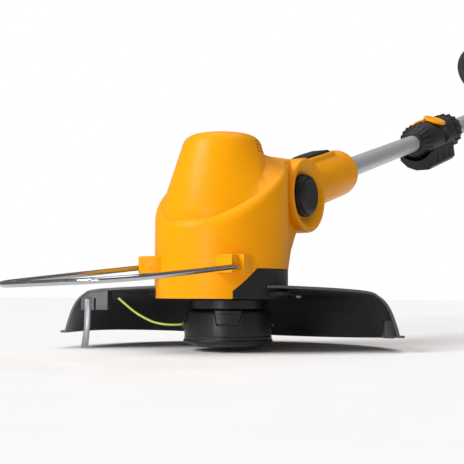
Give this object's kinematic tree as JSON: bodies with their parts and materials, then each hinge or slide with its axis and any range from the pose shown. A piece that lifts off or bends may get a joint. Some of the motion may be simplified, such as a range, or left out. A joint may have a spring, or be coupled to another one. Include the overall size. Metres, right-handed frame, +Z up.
{
  "type": "string trimmer",
  "caption": "Battery string trimmer with tilting motor head, bump-feed line head, rear line guard, fold-up wire plant guard, telescopic shaft, loop aid handle and closed rear grip.",
  "frame": {"origin": "centre of the bump button's flat foot", "axes": "+Z up the line head's spin axis, -Y to the trimmer's front, +X to its left side; the shaft rises along +Y at 16 degrees"},
  "size_m": [0.316, 1.6712, 0.5565],
  "materials": {
    "orange_shell": "satin moulded ABS",
    "black_plastic": "fine moulded grain",
    "guard_plastic": "semi-gloss polypropylene",
    "aluminium_tube": "satin anodised",
    "steel": "machined",
    "chrome_wire": "bright plated",
    "trimmer_line": "translucent nylon",
    "board": "coated board"
  },
  "bodies": {
    "handle": {"handle_left": "orange_shell", "handle_right": "black_plastic", "switch": "guard_plastic", "control_board": "board", "terminal_block": "guard_plastic", "lock_spring": "steel", "upper_tube": "aluminium_tube", "collar_body": "black_plastic", "collar_foot": "black_plastic", "lever_pin": "steel", "handle_clamp": "black_plastic", "handle_bolt_left": "steel", "handle_bolt_right": "steel"},
    "clamp_nut": {"collar_nut": "black_plastic"},
    "rear_nut": {"collar_ring": "black_plastic"},
    "clamp_lever": {"lock_lever": "orange_shell"},
    "aid_handle": {"front_handle": "black_plastic"},
    "aid_knob": {"handle_knob": "orange_shell"},
    "switch_trigger": {"trigger": "black_plastic"},
    "lock_off": {"lock_off_button": "black_plastic"},
    "battery": {"battery_pack": "black_plastic"},
    "battery_release": {"battery_button": "orange_shell"},
    "shaft_key": {"shaft_bush": "black_plastic"},
    "shaft": {"lower_tube": "aluminium_tube", "arm_left": "orange_shell", "arm_right": "orange_shell", "pedal_spring": "steel", "tilt_latch": "steel"},
    "foot_pedal": {"tilt_pedal": "black_plastic"},
    "head": {"housing_left": "orange_shell", "housing_right": "orange_shell", "motor": "steel", "motor_bearing": "steel", "motor_plate": "black_plastic", "guard_bracket": "black_plastic", "guard": "guard_plastic", "guard_screw_left": "steel", "guard_screw_right": "steel", "line_cutter": "steel", "pivot_pin": "steel", "pivot_cap_left": "black_plastic", "pivot_cap_right": "black_plastic", "tilt_disc": "steel"},
    "wire_guard": {"plant_guard": "chrome_wire"},
    "line_head": {"motor_shaft": "steel", "cooling_fan": "black_plastic", "spool_carrier": "black_plastic", "spool_cap": "black_plastic", "line_eyelet_front": "steel", "line_eyelet_rear": "steel", "cutting_line": "trimmer_line", "bump_spring": "steel"},
    "reel": {"bump_button": "guard_plastic", "spool": "black_plastic", "line_winding": "trimmer_line"},
    "latch_front": {"front_latch": "black_plastic"},
    "latch_rear": {"rear_latch": "black_plastic"}
  },
  "joints": [
    {"name": "shaft_slide", "type": "slide", "parent": "handle", "child": "shaft_key", "axis": [0, 0.9613, 0.2756], "range_m": [0, 0.24]},
    {"name": "shaft_twist", "type": "hinge", "parent": "shaft_key", "child": "shaft", "pos_m": [0, 0.66276, 0.31388], "axis": [0, 0.9613, 0.2756], "range_deg": [0, 180]},
    {"name": "head_tilt", "type": "hinge", "parent": "shaft", "child": "head", "pos_m": [0, 0.086, 0.1485], "axis": [1, 0, 0], "range_deg": [-50, 10]},
    {"name": "line_spin", "type": "hinge", "parent": "head", "child": "line_head", "pos_m": [0, 0, 0], "axis": [0, 0, 1], "continuous": true},
    {"name": "bump_feed", "type": "slide", "parent": "line_head", "child": "reel", "axis": [0, 0, 1], "range_m": [0, 0.003], "stiffness_N_per_m": 1500, "springref_m": -0.005, "deforming": ["bump_spring"]},
    {"name": "front_latch_press", "type": "slide", "parent": "line_head", "child": "latch_front", "axis": [-0.527, 0.8499, 0], "range_m": [0, 0.0012], "stiffness_N_per_m": 800, "springref_m": -0.002},
    {"name": "rear_latch_press", "type": "slide", "parent": "line_head", "child": "latch_rear", "axis": [0.527, -0.8499, 0], "range_m": [0, 0.0012], "stiffness_N_per_m": 800, "springref_m": -0.002},
    {"name": "wire_guard_fold", "type": "hinge", "parent": "head", "child": "wire_guard", "pos_m": [0, -0.0696, 0.072], "axis": [1, 0, 0], "range_deg": [-95, 0]},
    {"name": "pedal_press", "type": "hinge", "parent": "shaft", "child": "foot_pedal", "pos_m": [0, 0.20531, 0.20768], "axis": [1, 0, 0], "range_deg": [0, 5], "stiffness_Nm_per_rad": 3, "springref_deg": -8.59, "deforming": ["pedal_spring"]},
    {"name": "clamp_nut_turn", "type": "hinge", "parent": "handle", "child": "clamp_nut", "pos_m": [0, 0.50415, 0.2684], "axis": [0, 0.9613, 0.2756], "range_deg": [0, 90]},
    {"name": "rear_nut_turn", "type": "hinge", "parent": "handle", "child": "rear_nut", "pos_m": [0, 0.65314, 0.31113], "axis": [0, 0.9613, 0.2756], "range_deg": [0, 90]},
    {"name": "clamp_lever_open", "type": "hinge", "parent": "handle", "child": "clamp_lever", "pos_m": [-0.0286, 0.57404, 0.29677], "axis": [0, 0.9613, 0.2756], "range_deg": [-100, 0]},
    {"name": "aid_handle_tilt", "type": "hinge", "parent": "handle", "child": "aid_handle", "pos_m": [0, 1.01362, 0.41449], "axis": [1, 0, 0], "range_deg": [-30, 30]},
    {"name": "aid_knob_turn", "type": "hinge", "parent": "handle", "child": "aid_knob", "pos_m": [0, 1.01362, 0.41449], "axis": [1, 0, 0], "continuous": true},
    {"name": "trigger_pull", "type": "hinge", "parent": "handle", "child": "switch_trigger", "pos_m": [0, 1.23266, 0.4669], "axis": [1, 0, 0], "range_deg": [-5, 0], "stiffness_Nm_per_rad": 0.8, "springref_deg": 11.46},
    {"name": "lock_off_press", "type": "slide", "parent": "handle", "child": "lock_off", "axis": [0, 0.2756, -0.9613], "range_m": [0, 0.0025], "stiffness_N_per_m": 600, "springref_m": -0.003, "deforming": ["lock_spring"]},
    {"name": "battery_slide", "type": "slide", "parent": "handle", "child": "battery", "axis": [0, 0.9613, 0.2756], "range_m": [0, 0.055]},
    {"name": "battery_release_press", "type": "slide", "parent": "battery", "child": "battery_release", "axis": [0, 0.2756, -0.9613], "range_m": [0, 0.0025], "stiffness_N_per_m": 800, "springref_m": -0.003}
  ]
}
